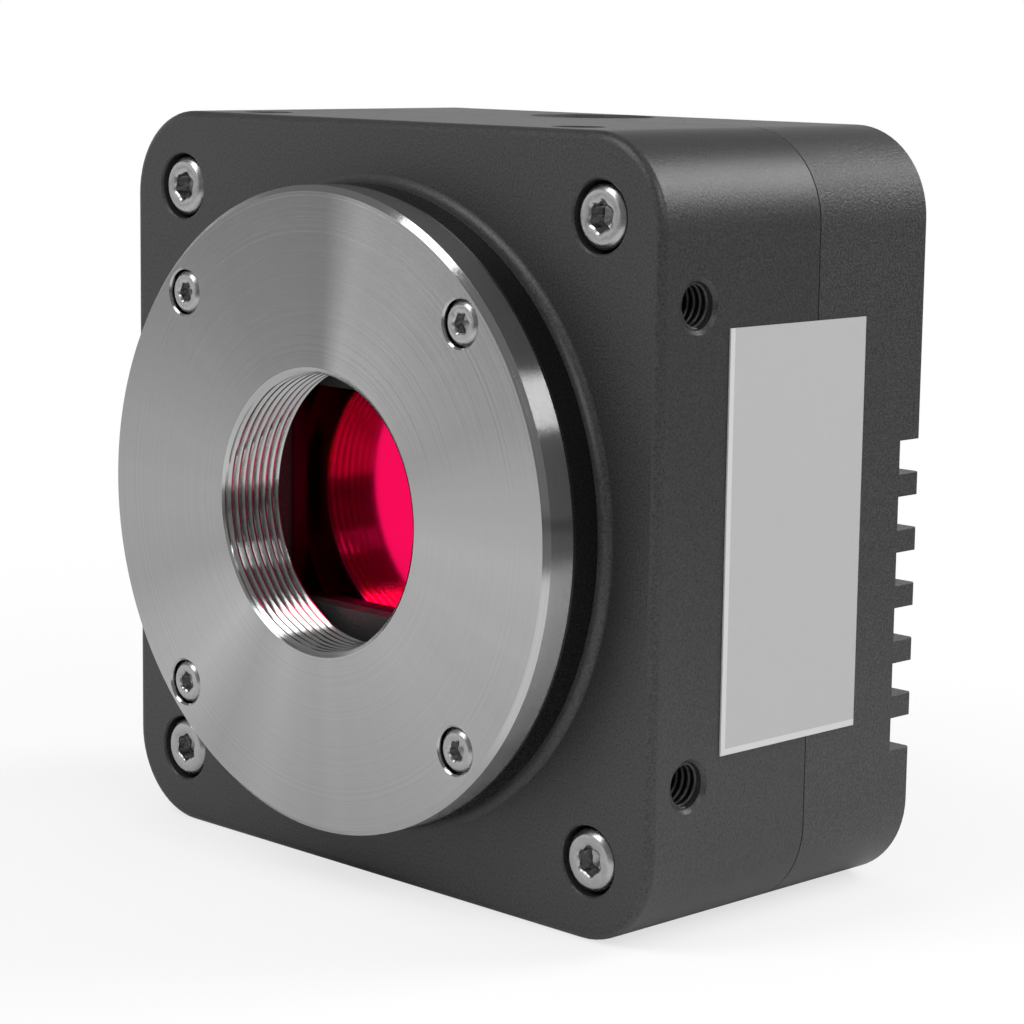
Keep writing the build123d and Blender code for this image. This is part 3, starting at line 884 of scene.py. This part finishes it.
# Socket screws of bare stainless steel, with a bevelled head and a six-lobe socket pressed into
# it: four small ones hold the flange and its ring, and four larger ones join the body's halves.
def socket_screw(name, head, height, edge, socket, shank, length):
    """One screw that stands head up, with the top of its head at the origin.

    Its socket has a cone for a floor and a lobed wall that opens at the mouth. The head's edge is
    a round bevel.
    """

    def lobed(size):
        return lambda angle, depth: size * (0.93 + 0.07 * cos(6 * angle))

    floor_depth = 0.55 * height
    screw = turned(
        name,
        [
            (0, -floor_depth - 0.35 * socket),
            (lobed(0.90 * socket), -floor_depth),
            (lobed(0.98 * socket), -0.14 * mm),
            (lobed(1.10 * socket), -0.03 * mm),
            (lobed(1.18 * socket), 0),
            (head - edge, 0),
            (head - 0.85 * edge, -0.05 * edge),
            (head - 0.20 * edge, -0.60 * edge),
            (head, -0.90 * edge),
            (head, -height),
            (shank, -height),
            (shank, -height - length),
            (0, -height - length),
        ],
        facing_up,
        steps=72,
    )
    smooth(screw, 30)
    return screw


def geometry_tree(name, inputs):
    """An empty geometry tree with these named inputs and one geometry output."""
    tree = bpy.data.node_groups.new(name, "GeometryNodeTree")
    for label, kind in inputs:
        tree.interface.new_socket(label, in_out="INPUT", socket_type=kind)
    tree.interface.new_socket("Geometry", in_out="OUTPUT", socket_type="NodeSocketGeometry")
    given = tree.nodes.new("NodeGroupInput")
    return tree, {label: Field(given.outputs[label]) for label, kind in inputs}


def end_tree(tree, geometry, material):
    """Ends a geometry tree: makes its instances real and sets their material."""
    real = add_node(tree, "GeometryNodeRealizeInstances", {}, {"Geometry": geometry})
    painted = add_node(
        tree, "GeometryNodeSetMaterial", {}, {"Geometry": real, "Material": material}
    )
    result = tree.nodes.new("NodeGroupOutput")
    tree.links.new(painted.socket, result.inputs[0])


def grow(name, tree, values):
    """A plain mesh piece from a geometry tree with these values for its named inputs."""
    piece = bpy.data.objects.new(name, bpy.data.meshes.new(name))
    bpy.context.scene.collection.objects.link(piece)
    modifier = piece.modifiers.new("shape", "NODES")
    modifier.node_group = tree
    for item in tree.interface.items_tree:
        if item.in_out == "INPUT":
            modifier[item.identifier] = values[item.name]
    bake_modifiers(piece)
    return piece


square_tree, square = geometry_tree(
    "screws in a square",
    [
        ("Screw", "NodeSocketObject"),
        ("Spacing", "NodeSocketFloat"),
        ("Depth", "NodeSocketFloat"),
        ("Height", "NodeSocketFloat"),
        ("Turn", "NodeSocketFloat"),
        ("Material", "NodeSocketMaterial"),
    ],
)
corners = add_node(
    square_tree,
    "GeometryNodeMeshGrid",
    {},
    {
        "Size X": square["Spacing"],
        "Size Y": square["Spacing"],
        "Vertices X": 2,
        "Vertices Y": 2,
    },
)
screw_mesh = add_node(
    square_tree, "GeometryNodeObjectInfo", {}, {"Object": square["Screw"]}, output="Geometry"
)
# The screws stand at different angles, as they come to when they are tightened
corner_number = add_node(square_tree, "GeometryNodeInputIndex")
own_turn = add_node(
    square_tree,
    "ShaderNodeCombineXYZ",
    {},
    {"Z": square["Turn"] * (corner_number + 1) * (corner_number + 2)},
)
placed = add_node(
    square_tree,
    "GeometryNodeInstanceOnPoints",
    {},
    {"Points": corners, "Instance": screw_mesh, "Rotation": own_turn},
)
place_row = add_node(
    square_tree, "ShaderNodeCombineXYZ", {}, {"Y": square["Depth"], "Z": square["Height"]}
)
stood = add_node(
    square_tree,
    "GeometryNodeTransform",
    {},
    {"Geometry": placed, "Translation": place_row, "Rotation": (pi / 2, 0, 0)},
)
end_tree(square_tree, stood, square["Material"])

screw_steel, screw_tree, screw_shader = new_finish("screw steel", {"Metallic": 1.0})
screw_place = add_node(screw_tree, "ShaderNodeTexCoord", output="Object")
screw_grain = noise(screw_tree, screw_place, scale=9000, detail=3.0, roughness=0.6)
screw_stain = noise(screw_tree, screw_place, scale=900, detail=3.0)
screw_tone = 0.40 * (1 + 0.25 * (screw_grain - 0.5) + 0.3 * (screw_stain - 0.5))
vary(
    screw_tree,
    screw_shader,
    base_color=gray(screw_tree, screw_tone),
    roughness=0.27 + 0.18 * (screw_stain - 0.5),
    normal=bump(screw_tree, screw_grain, 0.010 * mm, 0.6),
)
flange_screw = {
    "head": 1.9, "height": 1.9, "edge": 0.40, "socket": 0.92, "shank": 0.97, "length": 8.0
}
housing_screw = {
    "head": 2.7, "height": 3.0, "edge": 0.50, "socket": 1.36, "shank": 1.47, "length": 25.0
}
for node, sizes, spacing, turn in (
    ("flange_screws", flange_screw, flange_screw_spacing, 0.37),
    ("housing_screws", housing_screw, housing_screw_spacing, 0.23),
):
    screw = socket_screw(f"{node} one", **{part: size * mm for part, size in sizes.items()})
    screws = grow(
        f"{node}_lobed",
        square_tree,
        {
            "Screw": screw,
            "Spacing": spacing,
            "Depth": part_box(node)[0].y,
            "Height": axis_z,
            "Turn": turn,
            "Material": screw_steel,
        },
    )
    bpy.data.objects.remove(screw)
    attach(screws, "root")
    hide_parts(node)


# Threads of the tapped holes: ridges of the body's own metal, cut by a tap. M4 in the four
# sides, and the coarser tripod thread above and below.
ridge_tree, ridge = geometry_tree(
    "thread ridges",
    [
        ("Radius", "NodeSocketFloat"),
        ("Pitch", "NodeSocketFloat"),
        ("Turns", "NodeSocketFloat"),
        ("Ridge", "NodeSocketFloat"),
        ("Material", "NodeSocketMaterial"),
    ],
)
climb = add_node(
    ridge_tree,
    "GeometryNodeCurveSpiral",
    {},
    {
        "Resolution": 40,
        "Rotations": ridge["Turns"],
        "Start Radius": ridge["Radius"],
        "End Radius": ridge["Radius"],
        "Height": ridge["Turns"] * ridge["Pitch"],
        "Reverse": True,
    },
)
level = add_node(ridge_tree, "GeometryNodeSetCurveNormal", {"mode": "Z_UP"}, {"Curve": climb})
section = add_node(
    ridge_tree,
    "GeometryNodeCurvePrimitiveCircle",
    {"mode": "RADIUS"},
    {"Resolution": 3, "Radius": ridge["Ridge"]},
)
swept = add_node(
    ridge_tree,
    "GeometryNodeCurveToMesh",
    {},
    {"Curve": level, "Profile Curve": section, "Fill Caps": True},
)
end_tree(ridge_tree, swept, ridge["Material"])
tripod_y = (rear_low.y + rear_high.y) / 2
tripod_places = [at(0, tripod_y, body_size, facing_up), at(0, tripod_y, 0, facing_down)]
ridge_sink = 0.12  # in pitches, as is the size
ridge_size = 0.42
for name, places, radius, pitch, turns, start, material in (
    ("side_threads", side_hole_places, side_hole_radius, 0.70 * mm, 7.0, 0.45 * mm, front_finish),
    ("tripod_threads", tripod_places, 3.175 * mm, 1.27 * mm, 3.2, 3.1 * mm, rear_finish),
):
    one = grow(
        f"{name}_one",
        ridge_tree,
        {
            "Radius": radius - ridge_sink * pitch,
            "Pitch": pitch,
            "Turns": turns,
            "Ridge": ridge_size * pitch,
            "Material": material,
        },
    )
    whole = bmesh.new()
    for place in places:
        copy = one.data.copy()
        copy.transform(place @ Matrix.Translation((0, 0, -start - turns * pitch)))
        whole.from_mesh(copy)
    bmesh.ops.recalc_face_normals(whole, faces=whole.faces)
    threads = bpy.data.objects.new(name, bpy.data.meshes.new(name))
    whole.to_mesh(threads.data)
    whole.free()
    threads.data.materials.append(material)
    bpy.context.scene.collection.objects.link(threads)
    bpy.data.objects.remove(one)
    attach(threads, "root")


# Label on the right side: satin film, left bare, with a paler border along its front and lower
# edges. It bridges the joint of the two halves.
label_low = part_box("rating_label")[0]
label_finish, label_tree, label_shader = new_finish("satin film", {"Specular IOR Level": 0.35})
label_place = add_node(label_tree, "ShaderNodeTexCoord", output="Object")
label_along = one_axis(label_tree, label_place, "Y")
label_up = one_axis(label_tree, label_place, "Z")
border = 0.55 * mm
in_border = 1 - (label_along > label_low.y + border) * (label_up > label_low.z + border)
label_grain = noise(label_tree, label_place, scale=3000)
vary(
    label_tree,
    label_shader,
    base_color=gray(label_tree, 0.405 + 0.14 * in_border + 0.02 * (label_grain - 0.5)),
    roughness=0.50 + 0.08 * (label_grain - 0.5),
    normal=bump(label_tree, label_grain, 0.004 * mm, 0.5),
)
dress(label_finish, "rating_label")


# Infrared filter: glass with a coating that mirrors red, on a thin rubber frame, held from behind
# by a black frame.
def blend(tree, factor, first, second):
    """A colour between two others."""
    return add_node(
        tree,
        "ShaderNodeMix",
        {"data_type": "RGBA"},
        {"Factor": factor, "A": (*first, 1), "B": (*second, 1)},
        output="Result",
    )


glass_finish, glass_tree, glass_shader = new_finish("red mirror coating", {"Metallic": 1.0})
glass_place = add_node(glass_tree, "ShaderNodeTexCoord", output="Object")
glass_haze = noise(glass_tree, glass_place, scale=250, detail=3.0)
vary(
    glass_tree,
    glass_shader,
    base_color=blend(glass_tree, glass_haze, (1.0, 0.0, 0.10), (0.90, 0.0, 0.09)),
    roughness=0.08 + 0.02 * glass_haze,
)
dress(glass_finish, "filter_glass")


def moulded(name, color, roughness, grain_size, constants=None):
    """A plain finish with fine grain: rubber, moulded plastic, ceramic, solder resist."""
    material, tree, shader = new_finish(name, constants or {})
    position = add_node(tree, "ShaderNodeTexCoord", output="Object")
    grain = noise(tree, position, 1 / grain_size, 3.0)
    spots = noise(tree, position, 0.08 / grain_size)
    dark = [0.85 * value for value in color]
    light = [1.15 * value for value in color]
    vary(
        tree,
        shader,
        base_color=blend(tree, 0.5 * grain + 0.5 * spots, dark, light),
        roughness=roughness + 0.12 * (grain - 0.5),
        normal=bump(tree, grain, 0.1 * grain_size, 0.6),
    )
    return material


dress(
    moulded("black rubber", (0.020, 0.020, 0.020), 0.75, 0.10 * mm),
    "filter_seal",
    "housing_seal",
)
dress(ring_finish, "filter_retainer")


# Image sensor: a silicon chip in a grey ceramic package, which is closed by a clear glass bonded
# over it and soldered to its board.
dress(moulded("grey ceramic", (0.30, 0.27, 0.24), 0.55, 0.05 * mm), "sensor_package")
dress(moulded("silicon", (0.05, 0.04, 0.07), 0.12, 0.02 * mm, {"Metallic": 0.6}), "sensor_die")
dress(
    moulded("clear glass", (0.92, 0.95, 0.97), 0.10, 1.0 * mm, {"Alpha": 0.25}),
    "sensor_cover_glass",
)


# Circuit boards: glass fibre under green solder resist, with copper tracks that show through it.
# Brass pillars and screws stack them, and a plug and its header join them.
board_finish, board_tree, board_shader = new_finish("solder resist", {"Coat Weight": 0.3})
board_place = add_node(board_tree, "ShaderNodeTexCoord", output="Object")
board_tracks = add_node(
    board_tree,
    "ShaderNodeTexBrick",
    {"offset": 0.5, "squash": 1.0},
    {
        "Vector": add_node(
            board_tree,
            "ShaderNodeCombineXYZ",
            {},
            {
                "X": one_axis(board_tree, board_place, "X"),
                "Y": one_axis(board_tree, board_place, "Z"),
            },
        ),
        "Scale": 300.0,
        "Mortar Size": 0.05,
        "Brick Width": 2.5,
        "Row Height": 0.25,
    },
    output="Fac",
)
vary(
    board_tree,
    board_shader,
    base_color=blend(board_tree, board_tracks, (0.015, 0.080, 0.035), (0.03, 0.14, 0.06)),
    roughness=0.30 + 0.1 * board_tracks,
)
dress(board_finish, "sensor_board", "main_board")
dress(
    moulded("brass", (0.72, 0.56, 0.28), 0.30, 0.05 * mm, {"Metallic": 1.0}), "board_spacers"
)
dress(screw_steel, "main_board_screws")
black_plastic = moulded("black plastic", (0.025, 0.025, 0.027), 0.48, 0.06 * mm)
dress(black_plastic, "board_plug", "board_header")
dress(
    moulded("chip body", (0.030, 0.030, 0.032), 0.60, 0.05 * mm),
    "processor_chip",
    "memory_chips",
    "usb_chip",
)
dress(moulded("ferrite", (0.09, 0.09, 0.10), 0.65, 0.05 * mm), "power_coil")
dress(moulded("fired ceramic", (0.36, 0.24, 0.14), 0.35, 0.05 * mm), "capacitors")
dress(moulded("soft pad", (0.35, 0.40, 0.52), 0.80, 0.20 * mm), "thermal_pad")


# Sockets and status light in the rear: a tinned steel shell round a black insert with gilt
# contacts, and a round nickel plated shell with six gilt pins, held by its nut from inside.
dress(
    moulded("tinned steel", (0.70, 0.70, 0.69), 0.25, 0.10 * mm, {"Metallic": 1.0}), "usb_shell"
)
dress(black_plastic, "usb_insert", "io_insert")
dress(
    moulded("nickel plating", (0.66, 0.65, 0.63), 0.22, 0.08 * mm, {"Metallic": 1.0}),
    "io_shell",
    "io_nut",
)
dress(
    moulded("gilt contacts", (0.83, 0.62, 0.25), 0.22, 0.05 * mm, {"Metallic": 1.0}),
    "usb_contacts",
    "io_pins",
)
light_passing = {"Transmission Weight": 0.6, "IOR": 1.49}
dress(
    moulded("light rod", (0.80, 0.84, 0.80), 0.20, 0.30 * mm, light_passing),
    "status_window",
    "status_led",
)
